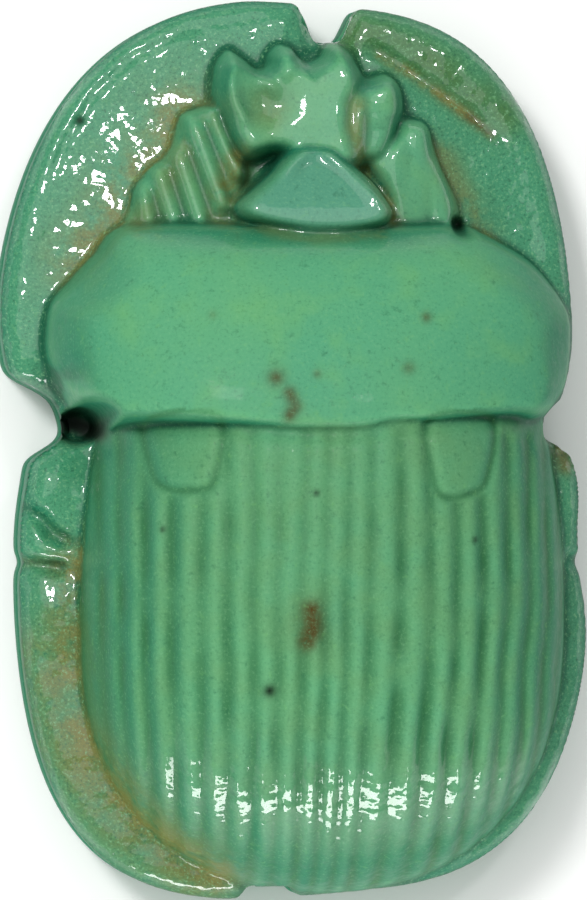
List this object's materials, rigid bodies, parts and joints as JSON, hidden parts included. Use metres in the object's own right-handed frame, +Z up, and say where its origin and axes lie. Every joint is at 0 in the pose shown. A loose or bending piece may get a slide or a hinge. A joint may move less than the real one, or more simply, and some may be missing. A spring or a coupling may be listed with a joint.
{
  "type": "scarab amulet",
  "caption": "Small glazed scarab amulet: ridged wing cases, neck shield, toothed head and legs in low relief on a flat oval base, pierced lengthwise for a string.",
  "frame": {"origin": "middle of the flat underside", "axes": "+Y towards the head, +X to the right seen from above, +Z up from the underside to the back"},
  "size_m": [0.013, 0.02, 0.0082],
  "materials": {
    "glaze": "thick glossy blue-green glaze, darker where it pools, with brown deposits in the recesses, fine pits and sparkle"
  },
  "bodies": {
    "root": {"scarab_amulet": "glaze"}
  },
  "joints": []
}
